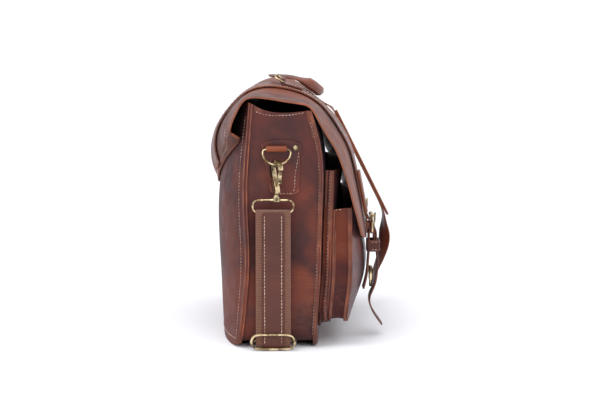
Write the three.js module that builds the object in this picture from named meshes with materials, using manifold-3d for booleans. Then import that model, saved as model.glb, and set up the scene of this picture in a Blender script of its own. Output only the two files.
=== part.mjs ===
import * as THREE from 'three';
import { mergeVertices } from 'three/addons/utils/BufferGeometryUtils.js';
import Module from 'manifold-3d';

// Laptop messenger bag in pull-up leather, standing on its bottom seams. Millimetres, +Z up.
// Width runs along X, the front faces -Y. "Forward" in this file is the distance towards the front, -Y.
// The near end is at -X, the far end at +X.

// Body
const bodyWidth = 400;
const bodyHeight = 285;
const bodyDepth = 88;
const leather = 2.2;
const seamGap = 0.7;
const flange = 6.5;
const cornerRadius = 18;
const gussetSag = 5;

// Pockets on the front
const slipInset = 3;
const slipDepth = 12;
const slipTop = 0.7263 * bodyHeight;
const slipBottom = 0.1088 * bodyHeight;
const pocketDepth = 24;
const pocketTop = 0.574 * bodyHeight;
const pocketBottom = 0.113 * bodyHeight;
const pocketRadius = 14;
const pocketFlange = 4;

// Flap
const flapOverhang = 6.5;
const flapLeather = 2.4;

// Belts over the flap
const beltOffset = 105;
const beltWidth = 28;
const beltLeather = 2.2;
const stripLeather = 2.8;
const stripWidth = 26;
const stripReach = 160;

// Roller buckle, keeper and lock
const buckleWire = 1.8;
const rollerRadius = 3;
const buckleZ = 0.4421 * bodyHeight;
const buckleHeight = 21;
const buckleSlack = 1.2;
const prongRadius = 1.2;
const keeperLeather = 1.6;
const keeperHeight = 14;
const keeperZ = 0.3614 * bodyHeight;
const lockWidth = 18;
const lockHeight = 17;
const lockDepth = 4.4;
const lockZ = 0.2351 * bodyHeight;

// Handle
const handleReach = 84;
const handleRadius = 7;
const handleEndThickness = 3.2;
const handleEndWidth = 15;
const tabWidth = 13;
const handleRingWire = 1.3;
const handleRingReach = 11;

// D-ring, snap hook and swivel loop at each end
const ringWire = 1.45;
const ringWidth = 33;
const ringDrop = 18;
const ringBarZ = 232;
const ringForward = -5;
const patchTop = 242;
const patchBottom = 178;
const patchHalfTop = 23;
const patchHalfBottom = 17;
const ringLoopWidth = 24;
const rivetRadius = 3.4;
const rivetHead = 1.6;
const hookEye = 6.6;
const hookMetal = 3.3;
const hookThickness = 6;
const hookTurn = Math.PI / 3.08;
const hookNeck = 29;
const loopWire = 1.3;
const loopWidth = 47;
const loopHeight = 14.5;
const swivelBlock = 7;

// Shoulder strap
const strapWidth = 40;
const webbing = 1.6;
const bandWidth = 26;
const bandLeather = 1.2;
const strapLength = 1050;
const strapCentre = -9;
const sliderWidth = 50;
const sliderHeight = 20;
const sliderWire = 1.6;
const floorLoopRadius = 14;
const fit = 0.3;
const beltGap = 1;
const patchGap = 1;
const ringLean = 6;

// Side seams of the body: how far each seam lies forward, as a share of the depth, up the height
const seams = [
  { up: 0, back: -0.566, front: 0.461 },
  { up: 0.15, back: -0.51, front: 0.47 },
  { up: 0.28, back: -0.467, front: 0.51 },
  { up: 0.42, back: -0.46, front: 0.516 },
  { up: 0.58, back: -0.492, front: 0.535 },
  { up: 0.72, back: -0.482, front: 0.55 },
  { up: 0.83, back: -0.455, front: 0.516 },
  { up: 0.93, back: -0.43, front: 0.434 },
  { up: 1, back: -0.409, front: 0.34 },
];

// Bulge of the panels at mid width, as a share of the depth, up the height
const bulges = [
  { up: 0, back: 0.26, front: 0.05 },
  { up: 0.2, back: 0.37, front: 0.08 },
  { up: 0.4, back: 0.44, front: 0.09 },
  { up: 0.63, back: 0.4, front: 0.08 },
  { up: 0.84, back: 0.33, front: 0.07 },
  { up: 1, back: 0.14, front: 0.06 },
];

// Bulge of the front pocket at mid width and the place of its edge, as shares of its own depth
const pocketForm = [
  { up: 0.11, edge: 0.93, out: 0.42 },
  { up: 0.2, edge: 1, out: 0.88 },
  { up: 0.33, edge: 1.02, out: 1 },
  { up: 0.44, edge: 0.98, out: 0.78 },
  { up: 0.52, edge: 0.94, out: 0.52 },
  { up: 0.58, edge: 0.9, out: 0.42 },
];

// Flap from its sewn back end, over the top, to its lower edge: forward as a share of the depth and
// height as a share of the body height, along the two ends (edge) and at mid width (mid). The first
// two rows lie on the back panel, width is the flap's share of its full width, and hug is how much
// closer to the bag the far end hangs.
const flapRows = [
  { edgeF: -0.6, edgeZ: 0.835, midF: -0.93, midZ: 0.625, width: 0.885, hug: 0 },
  { edgeF: -0.6, edgeZ: 0.853, midF: -0.93, midZ: 0.646, width: 0.925, hug: 0 },
  { edgeF: -0.665, edgeZ: 0.88, midF: -1.006, midZ: 0.684, width: 0.965, hug: 0 },
  { edgeF: -0.648, edgeZ: 0.916, midF: -1.057, midZ: 0.751, width: 1, hug: 0 },
  { edgeF: -0.602, edgeZ: 0.947, midF: -1.034, midZ: 0.835, width: 1, hug: 0 },
  { edgeF: -0.552, edgeZ: 0.98, midF: -0.909, midZ: 0.905, width: 1, hug: 0 },
  { edgeF: -0.488, edgeZ: 1.01, midF: -0.705, midZ: 0.979, width: 1, hug: 0 },
  { edgeF: -0.403, edgeZ: 1.023, midF: -0.477, midZ: 1.056, width: 1, hug: 0 },
  { edgeF: -0.205, edgeZ: 1.019, midF: -0.205, midZ: 1.1, width: 1, hug: 0 },
  { edgeF: 0.057, edgeZ: 1.004, midF: 0.045, midZ: 1.105, width: 1, hug: 0 },
  { edgeF: 0.25, edgeZ: 0.996, midF: 0.273, midZ: 1.072, width: 1, hug: 0 },
  { edgeF: 0.355, edgeZ: 0.99, midF: 0.467, midZ: 1.014, width: 1, hug: 0 },
  { edgeF: 0.432, edgeZ: 0.965, midF: 0.63, midZ: 0.972, width: 1, hug: 0 },
  { edgeF: 0.516, edgeZ: 0.909, midF: 0.795, midZ: 0.919, width: 1, hug: 0.02 },
  { edgeF: 0.636, edgeZ: 0.851, midF: 0.92, midZ: 0.853, width: 1, hug: 0.07 },
  { edgeF: 0.74, edgeZ: 0.8, midF: 1.01, midZ: 0.792, width: 1, hug: 0.13 },
  { edgeF: 0.8, edgeZ: 0.747, midF: 1.045, midZ: 0.737, width: 1, hug: 0.14 },
  { edgeF: 0.882, edgeZ: 0.674, midF: 1.075, midZ: 0.674, width: 1, hug: 0.045 },
  { edgeF: 0.943, edgeZ: 0.596, midF: 1.12, midZ: 0.589, width: 1, hug: 0.025 },
  { edgeF: 1.005, edgeZ: 0.53, midF: 1.16, midZ: 0.516, width: 1, hug: 0.01 },
  { edgeF: 1.035, edgeZ: 0.495, midF: 1.19, midZ: 0.46, width: 1, hug: 0.01 },
  { edgeF: 1.06, edgeZ: 0.461, midF: 1.21, midZ: 0.393, width: 0.985, hug: 0.01 },
];

// Free end of the near belt below its keeper: forward of the keeper as a share of the depth, height
// as a share of the body height
const tailRows = [
  { forward: 0.02, up: 0.34 },
  { forward: 0.025, up: 0.3 },
  { forward: 0.01, up: 0.265 },
  { forward: 0, up: 0.232 },
  { forward: -0.04, up: 0.2 },
  { forward: -0.09, up: 0.17 },
  { forward: -0.095, up: 0.14 },
  { forward: -0.05, up: 0.104 },
  { forward: 0.02, up: 0.072 },
  { forward: 0.085, up: 0.045 },
];

// Slack end of the far belt below its doubling strip, the same shares, and its twist in radians
const slackRows = [
  { forward: -0.03, up: 0.41, twist: 0.15 },
  { forward: -0.025, up: 0.375, twist: 0.42 },
  { forward: -0.02, up: 0.34, twist: 0.5 },
  { forward: -0.03, up: 0.3, twist: 0.45 },
  { forward: -0.06, up: 0.26, twist: 0.35 },
  { forward: -0.105, up: 0.22, twist: 0.25 },
  { forward: -0.16, up: 0.18, twist: 0.15 },
  { forward: -0.2, up: 0.14, twist: 0.1 },
  { forward: -0.21, up: 0.1, twist: 0.05 },
];

const halfWidth = bodyWidth / 2;
const slipHalf = halfWidth - slipInset;
const flapHalf = halfWidth + flapOverhang;
const wasm = await Module();
wasm.setup();

// Smooth curve through a table's rows: the value of one column at a place on its key column
const along = (rows, key, column) => (place) => {
  const last = rows.length - 1;
  const at = Math.min(Math.max(place, rows[0][key]), rows[last][key]);
  let i = 0;
  while (i < last - 1 && at > rows[i + 1][key]) i += 1;
  const slope = (k) => {
    const a = rows[Math.max(k - 1, 0)];
    const b = rows[Math.min(k + 1, last)];
    return (b[column] - a[column]) / (b[key] - a[key]);
  };
  const span = rows[i + 1][key] - rows[i][key];
  const t = (at - rows[i][key]) / span;
  const start = rows[i][column] * (1 + 2 * t) * (1 - t) ** 2 + slope(i) * span * t * (1 - t) ** 2;
  return start + rows[i + 1][column] * t * t * (3 - 2 * t) - slope(i + 1) * span * t * t * (1 - t);
};

const lerp = (a, b, t) => a + (b - a) * t;
const mirrored = (shares) => [...shares].reverse().map((q) => -q).concat(shares.filter((q) => q > 0));
const point = (x, forward, z) => new THREE.Vector3(x, -forward, z);

// Closed solid from points and triangles, turned so that its faces point outwards
function solid(points, triangles) {
  let volume = 0;
  for (const [a, b, c] of triangles) {
    volume += points[a].dot(new THREE.Vector3().crossVectors(points[b], points[c]));
  }
  const faces = volume < 0 ? triangles.map(([a, b, c]) => [a, c, b]) : triangles;
  const geometry = new THREE.BufferGeometry();
  geometry.setAttribute('position', new THREE.Float32BufferAttribute(points.flatMap((p) => p.toArray()), 3));
  geometry.setIndex(faces.flat());
  return geometry;
}

// Wall of even thickness around a grid of points on its middle surface
function wall(grid, thickness) {
  const rows = grid.length;
  const columns = grid[0].length;
  const points = [];
  const side = (r, c, sign) => {
    const down = grid[Math.min(r + 1, rows - 1)][c].clone().sub(grid[Math.max(r - 1, 0)][c]);
    const across = grid[r][Math.min(c + 1, columns - 1)].clone().sub(grid[r][Math.max(c - 1, 0)]);
    const normal = down.cross(across).normalize();
    return grid[r][c].clone().addScaledVector(normal, sign * thickness / 2);
  };
  for (const sign of [1, -1]) {
    for (let r = 0; r < rows; r += 1) {
      for (let c = 0; c < columns; c += 1) points.push(side(r, c, sign));
    }
  }
  const id = (r, c, layer) => layer * rows * columns + r * columns + c;
  const triangles = [];
  const quad = (a, b, c, d) => triangles.push([a, b, c], [a, c, d]);
  for (let r = 0; r < rows - 1; r += 1) {
    for (let c = 0; c < columns - 1; c += 1) {
      quad(id(r, c, 0), id(r + 1, c, 0), id(r + 1, c + 1, 0), id(r, c + 1, 0));
      quad(id(r, c, 1), id(r, c + 1, 1), id(r + 1, c + 1, 1), id(r + 1, c, 1));
    }
    quad(id(r, 0, 0), id(r, 0, 1), id(r + 1, 0, 1), id(r + 1, 0, 0));
    quad(id(r, columns - 1, 0), id(r + 1, columns - 1, 0), id(r + 1, columns - 1, 1), id(r, columns - 1, 1));
  }
  for (let c = 0; c < columns - 1; c += 1) {
    quad(id(0, c, 0), id(0, c + 1, 0), id(0, c + 1, 1), id(0, c, 1));
    quad(id(rows - 1, c, 0), id(rows - 1, c, 1), id(rows - 1, c + 1, 1), id(rows - 1, c + 1, 0));
  }
  return solid(points, triangles);
}

// Solid through a row of sections with as many points each, closed on itself or capped
function loft(sections, closed) {
  const count = sections.length;
  const sides = sections[0].length;
  const points = sections.flat();
  const triangles = [];
  for (let i = 0; i < (closed ? count : count - 1); i += 1) {
    const next = (i + 1) % count;
    for (let k = 0; k < sides; k += 1) {
      const l = (k + 1) % sides;
      triangles.push([i * sides + k, next * sides + k, next * sides + l]);
      triangles.push([i * sides + k, next * sides + l, i * sides + l]);
    }
  }
  if (!closed) {
    for (let k = 1; k < sides - 1; k += 1) {
      triangles.push([0, k, k + 1]);
      triangles.push([(count - 1) * sides, (count - 1) * sides + k + 1, (count - 1) * sides + k]);
    }
  }
  return solid(points, triangles);
}

// Round wire along points that lie in a plane with the given normal
function wire(path, radius, sides, normal, closed) {
  const sections = path.map((p, i) => {
    const before = path[closed ? (i + path.length - 1) % path.length : Math.max(i - 1, 0)];
    const after = path[closed ? (i + 1) % path.length : Math.min(i + 1, path.length - 1)];
    const out = after.clone().sub(before).normalize().cross(normal);
    return Array.from({ length: sides }, (_, k) => {
      const turn = (2 * Math.PI * k) / sides;
      return p.clone()
        .addScaledVector(out, radius * Math.cos(turn))
        .addScaledVector(normal, radius * Math.sin(turn));
    });
  });
  return loft(sections, closed);
}

// Geometry to manifold and back, for the few cuts and joins
function toManifold(geometry) {
  const bare = geometry.clone();
  bare.deleteAttribute('normal');
  bare.deleteAttribute('uv');
  const merged = mergeVertices(bare, 1e-4);
  return new wasm.Manifold(new wasm.Mesh({
    numProp: 3,
    vertProperties: new Float32Array(merged.attributes.position.array),
    triVerts: new Uint32Array(merged.index.array),
  }));
}

function fromManifold(body) {
  const mesh = body.getMesh();
  const geometry = new THREE.BufferGeometry();
  geometry.setAttribute('position', new THREE.Float32BufferAttribute(mesh.vertProperties, 3));
  geometry.setIndex([...mesh.triVerts]);
  return geometry;
}

const joined = (...parts) => fromManifold(parts.map(toManifold).reduce((a, b) => a.add(b)));
const cut = (base, cutter) => fromManifold(toManifold(base).subtract(toManifold(cutter)));

function box(width, depth, height, x, forward, z) {
  return new THREE.BoxGeometry(width, depth, height).translate(x, -forward, z);
}

// Body surfaces: how far forward the middle of each leather panel lies
const seamBack = along(seams, 'up', 'back');
const seamFront = along(seams, 'up', 'front');
const bulgeBack = along(bulges, 'up', 'back');
const bulgeFront = along(bulges, 'up', 'front');
const fullness = (x, power) => 1 - Math.min(Math.abs(x) / halfWidth, 1) ** power;
const backPanelPower = 3.4;
const frontPanelPower = 2.5;
const pocketPower = 2.2;
const flapPower = 1.6;

const backAt = (x, z) =>
  bodyDepth * (seamBack(z / bodyHeight) - bulgeBack(z / bodyHeight) * fullness(x, backPanelPower));
const frontAt = (x, z) =>
  bodyDepth * (seamFront(z / bodyHeight) + bulgeFront(z / bodyHeight) * fullness(x, frontPanelPower));
// The slip pocket's mouth gapes at mid width
const slipGape = 10;
const gapeAt = (z) => Math.max(0, Math.min((z / bodyHeight - 0.53) / 0.2, 1));
const slipAt = (x, z) => frontAt(x, z) + slipDepth + slipGape * gapeAt(z) * fullness(x, frontPanelPower);
const pocketEdge = along(pocketForm, 'up', 'edge');
const pocketOut = along(pocketForm, 'up', 'out');
const pocketAt = (x, z) => slipAt(halfWidth, z)
  + pocketDepth * (pocketEdge(z / bodyHeight) + pocketOut(z / bodyHeight) * fullness(x, pocketPower));

// Sewn panel: a sheet with rounded lower corners
function panel({ surface, half, bottom, top, radius, columns, rows }) {
  const low = (x) => {
    const inCorner = Math.max(Math.abs(x) - (half - radius), 0);
    return bottom + radius - Math.sqrt(Math.max(radius ** 2 - inCorner ** 2, 0));
  };
  return rows.map((share) => columns.map((q) => {
    const x = q * half;
    const z = lerp(low(x), top, share);
    return point(x, surface(x, z), z);
  }));
}

// Gusset: a strip round both ends and the bottom. Each column has its place between the back and the
// front surface and stands out of the strip by out, and the strip may sag inwards between its seams.
function gussetStrip({ columns, half, bottom, top, radius, back, front, sag, upRows, bottomStations }) {
  const arc = [0, 0.25, 0.5, 0.75, 1].map((share) => share * Math.PI / 2);
  const pathAt = (column) => {
    const floor = bottom(column.at);
    const endRows = (side) => upRows.map((share) => ({
      x: -half,
      z: lerp(top(column.at, side), floor + radius, share),
      nx: -1,
      nz: 0,
      hang: Math.sin(Math.PI * share),
    }));
    const corner = arc.map((turn) => ({
      x: -half + radius - radius * Math.cos(turn),
      z: floor + radius - radius * Math.sin(turn),
      nx: -Math.cos(turn),
      nz: -Math.sin(turn),
      hang: 0,
    }));
    const straight = bottomStations.map((q) => ({ x: q * half, z: floor, nx: 0, nz: -1, hang: 0 }));
    const nearSide = [...endRows(-1), ...corner.slice(1)];
    const farSide = [...endRows(1), ...corner.slice(1)].reverse().map((p) => ({ ...p, x: -p.x, nx: -p.nx }));
    return [...nearSide, ...straight, ...farSide];
  };
  const paths = columns.map((column) => pathAt(column));
  return paths[0].map((_, r) => columns.map((column, c) => {
    const p = paths[c][r];
    const out = column.out - sag * p.hang * Math.sin(Math.PI * column.at);
    const x = p.x + p.nx * out;
    const z = p.z + p.nz * out;
    return point(x, lerp(back(x, z), front(x, z), column.at) + (column.ease || 0), z);
  }));
}

const wideColumns = mirrored([0, 0.22, 0.44, 0.62, 0.76, 0.875, 0.94, 0.968, 1]);
const evenRows = (count) => Array.from({ length: count + 1 }, (_, i) => i / count);
const bottomStations = mirrored([0, 0.22, 0.44, 0.62, 0.78]);
const seamOffset = leather + seamGap;

// Lower edges stand flat on the floor
function standing(geometry) {
  const position = geometry.attributes.position;
  for (let i = 0; i < position.count; i += 1) {
    if (position.getZ(i) < fit) position.setZ(i, 0);
  }
  return geometry;
}

const backPanel = standing(wall(panel({
  surface: backAt,
  half: halfWidth + flange,
  bottom: 0,
  top: bodyHeight,
  radius: cornerRadius + flange,
  columns: wideColumns,
  rows: evenRows(11),
}), leather));

const frontTop = 0.968 * bodyHeight;
const frontPanel = standing(wall(panel({
  surface: frontAt,
  half: halfWidth + flange,
  bottom: 0,
  top: frontTop,
  radius: cornerRadius + flange,
  columns: mirrored([0, 0.3, 0.6, 0.82, 0.94, 0.968, 1]),
  rows: evenRows(9),
}), leather));

// The gusset's upper edge dips between the two panels, less so at the far end
const gussetTops = [
  { at: 0, up: 0.995 },
  { at: 0.08, up: 0.982 },
  { at: 0.3, up: 0.962 },
  { at: 0.6, up: 0.958 },
  { at: 1, up: 0.968 },
];
const gussetTop = along(gussetTops, 'at', 'up');
const gusset = standing(wall(gussetStrip({
  columns: [
    { at: 0, out: flange },
    { at: 0, out: 1.6 },
    { at: 0.02, out: 0 },
    { at: 0.16, out: 0 },
    { at: 0.38, out: 0 },
    { at: 0.62, out: 0 },
    { at: 0.84, out: 0 },
    { at: 0.98, out: 0 },
    { at: 1, out: 1.6 },
    { at: 1, out: flange },
  ],
  half: halfWidth,
  bottom: () => flange,
  top: (at, side) => bodyHeight * (gussetTop(at) + (side > 0 ? 0.03 * Math.sin(Math.PI * at) : 0)),
  radius: cornerRadius,
  back: (x, z) => backAt(x, z) + seamOffset + fit,
  front: (x, z) => frontAt(x, z) - seamOffset,
  sag: gussetSag,
  upRows: evenRows(8),
  bottomStations,
}), leather));

// Thin pocket on the front panel
const slipGusset = wall(gussetStrip({
  columns: [
    { at: 0, out: 0, ease: leather / 2 + seamGap + 1 },
    { at: 0.5, out: -1 },
    { at: 0.9, out: 0 },
    { at: 1, out: 1.2 },
    { at: 1, out: pocketFlange },
  ],
  half: slipHalf,
  bottom: (at) => lerp(slipBottom - 8, slipBottom, at),
  top: () => slipTop,
  radius: pocketRadius,
  back: (x, z) => frontAt(x, z),
  front: (x, z) => slipAt(x, z) - seamOffset,
  sag: 0,
  upRows: evenRows(4),
  bottomStations: mirrored([0, 0.3, 0.6, 0.82]),
}), leather);

const slipFront = wall(panel({
  surface: slipAt,
  half: slipHalf + pocketFlange,
  bottom: slipBottom - pocketFlange,
  top: slipTop,
  radius: pocketRadius + pocketFlange,
  columns: mirrored([0, 0.3, 0.6, 0.82, 0.93, 0.962, 1]),
  rows: evenRows(7),
}), leather);

// Bulged front pocket, sewn through the slip pocket's edge
const pocketSeam = (x, z) => pocketAt(x, z) - seamOffset;
const pocketGusset = wall(gussetStrip({
  columns: [
    { at: 0, out: pocketFlange },
    { at: 0.02, out: 0.3 },
    { at: 0.5, out: -1.5 },
    { at: 0.98, out: 0.3 },
    { at: 1, out: pocketFlange },
  ],
  half: slipHalf,
  bottom: () => pocketBottom,
  top: (at) => lerp(pocketTop - 2, pocketTop, at),
  radius: pocketRadius,
  back: (x, z) => slipAt(x, z) + seamOffset,
  front: pocketSeam,
  sag: 0,
  upRows: evenRows(5),
  bottomStations: mirrored([0, 0.22, 0.44, 0.62, 0.8]),
}), leather);

const pocketFront = wall(panel({
  surface: pocketAt,
  half: slipHalf + pocketFlange,
  bottom: pocketBottom - pocketFlange,
  top: pocketTop,
  radius: pocketRadius + pocketFlange,
  columns: mirrored([0, 0.22, 0.44, 0.62, 0.76, 0.87, 0.93, 0.962, 1]),
  rows: evenRows(8),
}), leather);

// Flap: place on its middle surface, q across from -1 to 1, r along its rows
const flapTable = flapRows.map((row, i) => ({ ...row, i }));
const flapColumn = Object.fromEntries(
  ['edgeF', 'edgeZ', 'midF', 'midZ', 'width', 'hug'].map((name) => [name, along(flapTable, 'i', name)]),
);
const flapSeat = leather / 2 + seamGap + flapLeather / 2;

// Forward of the bag's middle, the flap and belts lie over the pockets, so they follow the pockets' depth
const pocketReach = 2.4444 * (slipDepth + pocketDepth);
const forwardOf = (share) => Math.min(share, 0.5) * bodyDepth + Math.max(share - 0.5, 0) * pocketReach;

// Over the top, the flap rises to its hump along a wave, elsewhere along a plain curve
const humpShare = (r) => Math.max(0, 1 - Math.abs(r - 9.5) / 4.5);

function flapPoint(q, r) {
  const outward = 1 - Math.min(Math.abs(q), 1) ** flapPower;
  const hump = (1 + Math.cos(Math.PI * Math.min(Math.abs(q), 1))) / 2;
  const x = q * flapHalf * flapColumn.width(r);
  const z = bodyHeight * lerp(flapColumn.edgeZ(r), flapColumn.midZ(r), lerp(outward, hump, humpShare(r)));
  const farPart = Math.max(0, Math.min((q - 0.64) / 0.3, 1));
  const free = forwardOf(lerp(flapColumn.edgeF(r), flapColumn.midF(r), outward) - farPart * flapColumn.hug(r));
  const seated = backAt(x, z) - flapSeat;
  return point(x, r <= 1 ? seated : lerp(seated, free, Math.min(r - 1, 1)), z);
}

function onFlap(x, r, lift) {
  const q = x / (flapHalf * flapColumn.width(r));
  const step = 0.02;
  const down = flapPoint(q, r + step).sub(flapPoint(q, r - step));
  const across = flapPoint(q + step, r).sub(flapPoint(q - step, r));
  const normal = down.cross(across).normalize();
  return flapPoint(q, r).addScaledVector(normal, lift);
}

const flapColumns = mirrored([0, 0.22, 0.44, 0.576, 0.73, 0.87, 0.95, 1]);
const flap = wall(flapRows.map((_, r) => flapColumns.map((q) => flapPoint(q, r))), flapLeather);

// Leather strap: a sheet along centre points, each with its direction across
function strap(stations, width, thickness) {
  return wall(stations.map(({ centre, across }) => [-0.5, 0, 0.5].map((share) =>
    centre.clone().addScaledVector(across, share * width))), thickness);
}

const acrossX = new THREE.Vector3(1, 0, 0);
const sides = [
  { name: 'near', sign: -1 },
  { name: 'far', sign: 1 },
];

const beltLift = flapLeather / 2 + beltGap + beltLeather / 2;
const beltStation = (x, r, lift) => {
  const centre = onFlap(x, r, lift);
  const across = onFlap(x + beltWidth / 2, r, lift).sub(onFlap(x - beltWidth / 2, r, lift));
  return { centre, across: across.normalize() };
};
const beltStart = 0.6;
const beltRows = (end) => [beltStart, ...Array.from({ length: end }, (_, i) => i + 1)];

// Buckle, keeper, lower strap and lock hang on the pocket's face
const faceEdge = beltOffset - beltWidth / 2 - 2;
const pocketFace = pocketAt(faceEdge, keeperZ) + leather / 2;
const plyOffset = buckleWire + fit + beltLeather / 2;
const backPly = pocketFace + seamGap + keeperLeather + fit + beltLeather / 2;
const barForward = backPly + plyOffset;
const frontPly = barForward + plyOffset;
const tailPly = frontPly + beltLeather + fit;
const rollerZ = buckleZ + buckleHeight;

// Near belt: over the flap, under the roller, out over the bar, through the keeper and free
const nearCrossing = [
  { forward: tailPly - 2.2, z: buckleZ + 6.5 },
  { forward: tailPly, z: buckleZ },
  { forward: tailPly, z: buckleZ - 8 },
  { forward: tailPly, z: keeperZ + 4 },
];
const nearTail = tailRows.map((row) => ({ forward: tailPly + row.forward * bodyDepth, z: row.up * bodyHeight }));
const nearX = -beltOffset;
const nearBeltStations = [
  ...beltRows(18).map((r) => beltStation(nearX, r, beltLift)),
  beltStation(nearX, 19, beltLift),
  ...[...nearCrossing, ...nearTail].map((p) => ({ centre: point(nearX, p.forward, p.z), across: acrossX })),
];
const prongSlot = box(2 * (prongRadius + 1.4), 17, 16, nearX, barForward + 5, buckleZ + 11.2);
const nearBelt = cut(strap(nearBeltStations, beltWidth, beltLeather), prongSlot);

// Far belt: leaves the flap in a straight line under its doubling strip, then hangs slack
const farX = beltOffset;
const leaveRow = 12;
const leave = beltStation(farX, leaveRow, beltLift);
const stripTop = { forward: forwardOf(0.765), z: 0.945 * bodyHeight };
const stripSlope = new THREE.Vector2(0.447, -0.894);
const stripAt = (distance, lift) => point(
  farX,
  stripTop.forward + stripSlope.x * distance - stripSlope.y * lift,
  stripTop.z + stripSlope.y * distance + stripSlope.x * lift,
);
const stripStations = (from, to, steps, lift) => evenRows(steps).map((share) => ({
  centre: stripAt(lerp(from, to, share), lift), across: acrossX,
}));
const slackTop = stripTop.forward + stripSlope.x * stripReach;
const farBeltStations = [
  ...beltRows(leaveRow - 1).map((r) => beltStation(farX, r, beltLift)),
  leave,
  ...stripStations(-4, stripReach - 6, 6, 0),
  ...slackRows.map((row) => ({
    centre: point(farX, slackTop + row.forward * bodyDepth, row.up * bodyHeight),
    across: new THREE.Vector3(Math.cos(row.twist), Math.sin(row.twist), 0),
  })),
];
const farBelt = strap(farBeltStations, beltWidth, beltLeather);
const stripLift = beltLeather / 2 + fit + stripLeather / 2;
const farStrip = strap(stripStations(2, stripReach, 6, stripLift), stripWidth, stripLeather);
const nearStripRows = [16.6, 17, 18, 19];
const nearStrip = strap(
  nearStripRows.map((r) => beltStation(nearX, r, beltLift + stripLift)),
  stripWidth,
  stripLeather,
);

// Rounded rectangle of points in the plane of two directions, for rings and buckle frames
function roundedLoop(centre, widthDir, heightDir, width, height, radius, steps) {
  const corners = [[1, 1], [-1, 1], [-1, -1], [1, -1]];
  return corners.flatMap(([sx, sz], quarter) => evenRows(steps).map((share) => {
    const turn = (quarter + share) * Math.PI / 2;
    return centre.clone()
      .addScaledVector(widthDir, sx * (width / 2 - radius) + radius * Math.cos(turn))
      .addScaledVector(heightDir, sz * (height / 2 - radius) + radius * Math.sin(turn));
  }));
}

const up = new THREE.Vector3(0, 0, 1);
const frontDir = new THREE.Vector3(0, -1, 0);

function buckle(x) {
  const inner = beltWidth + 2 * buckleSlack;
  const frame = wire(
    roundedLoop(
      point(x, barForward, buckleZ + buckleHeight / 2), acrossX, up,
      inner + 2 * buckleWire, buckleHeight, 3, 2,
    ),
    buckleWire, 6, frontDir, true,
  );
  const roller = new THREE.CylinderGeometry(rollerRadius, rollerRadius, inner - 1, 12)
    .rotateZ(Math.PI / 2)
    .translate(x, -barForward, rollerZ);
  const rest = barForward + rollerRadius + prongRadius + 0.4;
  const prong = wire([
    point(x, barForward, buckleZ),
    point(x, barForward + 3.2, buckleZ + 5.2),
    point(x, rest - 0.4, buckleZ + 13),
    point(x, rest, rollerZ + 2.5),
  ], prongRadius, 6, acrossX, false);
  return joined(frame, roller, prong);
}

function keeper(x) {
  const inner = { back: pocketFace + seamGap + keeperLeather, front: tailPly + beltLeather / 2 + 1.6 };
  const outerWidth = beltWidth + 2 * (1 + keeperLeather);
  const rounded = (w, back, front, r) => {
    const shape = new THREE.Shape();
    shape.moveTo(-w / 2 + r, back);
    shape.lineTo(w / 2 - r, back);
    shape.quadraticCurveTo(w / 2, back, w / 2, back + r);
    shape.lineTo(w / 2, front - r);
    shape.quadraticCurveTo(w / 2, front, w / 2 - r, front);
    shape.lineTo(-w / 2 + r, front);
    shape.quadraticCurveTo(-w / 2, front, -w / 2, front - r);
    shape.lineTo(-w / 2, back + r);
    shape.quadraticCurveTo(-w / 2, back, -w / 2 + r, back);
    return shape;
  };
  const outline = rounded(outerWidth, -inner.front - keeperLeather, -inner.back + keeperLeather, 2.4);
  outline.holes.push(rounded(outerWidth - 2 * keeperLeather, -inner.front, -inner.back, 1));
  const geometry = new THREE.ExtrudeGeometry(outline, {
    depth: keeperHeight, bevelEnabled: false, curveSegments: 2,
  });
  return geometry.translate(x, 0, keeperZ);
}

function lowerStrap(x) {
  const onFace = (z) => pocketAt(faceEdge, z) + leather / 2 + seamGap + beltLeather / 2;
  const turn = evenRows(6).map((share) => ({
    forward: barForward + plyOffset * Math.cos(share * Math.PI),
    z: buckleZ + plyOffset * Math.sin(share * Math.PI),
  }));
  const path = [
    { forward: frontPly, z: keeperZ + 5 },
    { forward: frontPly, z: buckleZ - 8 },
    ...turn,
    { forward: backPly, z: buckleZ - 8 },
    { forward: backPly, z: keeperZ - 1 },
    ...[0.32, 0.28, 0.24, 0.2].map((share) => ({ forward: onFace(share * bodyHeight), z: share * bodyHeight })),
  ];
  const ply = strap(path.map((p) => ({ centre: point(x, p.forward, p.z), across: acrossX })),
    beltWidth - 2, beltLeather);
  const slot = box(2 * (prongRadius + 1.4), 12, 9, x, barForward + 5, buckleZ + 3.4);
  return cut(ply, slot);
}

function lock(x) {
  const face = Math.max(...[-8, 0, lockHeight].map((z) => pocketAt(faceEdge, lockZ + z)));
  const seat = face + leather / 2 + seamGap + beltLeather + fit;
  const bevel = 0.8;
  const plate = (width, height, depth) => {
    const shape = new THREE.Shape();
    shape.moveTo(-width / 2, 0);
    shape.lineTo(width / 2, 0);
    shape.lineTo(width / 2, height);
    shape.lineTo(-width / 2, height);
    shape.closePath();
    return new THREE.ExtrudeGeometry(shape, {
      depth: depth - 2 * bevel, bevelEnabled: true, bevelThickness: bevel, bevelSize: bevel,
      bevelOffset: -bevel, bevelSegments: 1,
    }).rotateX(Math.PI / 2);
  };
  const body = plate(lockWidth, lockHeight, lockDepth).translate(x, -seat - bevel, lockZ);
  const tongue = plate(lockWidth * 0.62, 10, lockDepth * 0.7).translate(x, -seat - bevel - 0.4, lockZ - 8);
  return joined(body, tongue);
}

// Handle fittings on the belts: a tab along the belt, rolled round the ring's bar at its back end
const tabRows = [10, 9.6, 9.2, 8.8];
const tabLeather = leather;
const tabLift = beltLift + beltLeather / 2 + fit + tabLeather / 2;
const rollRadius = handleRingWire + fit + tabLeather / 2;

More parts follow.
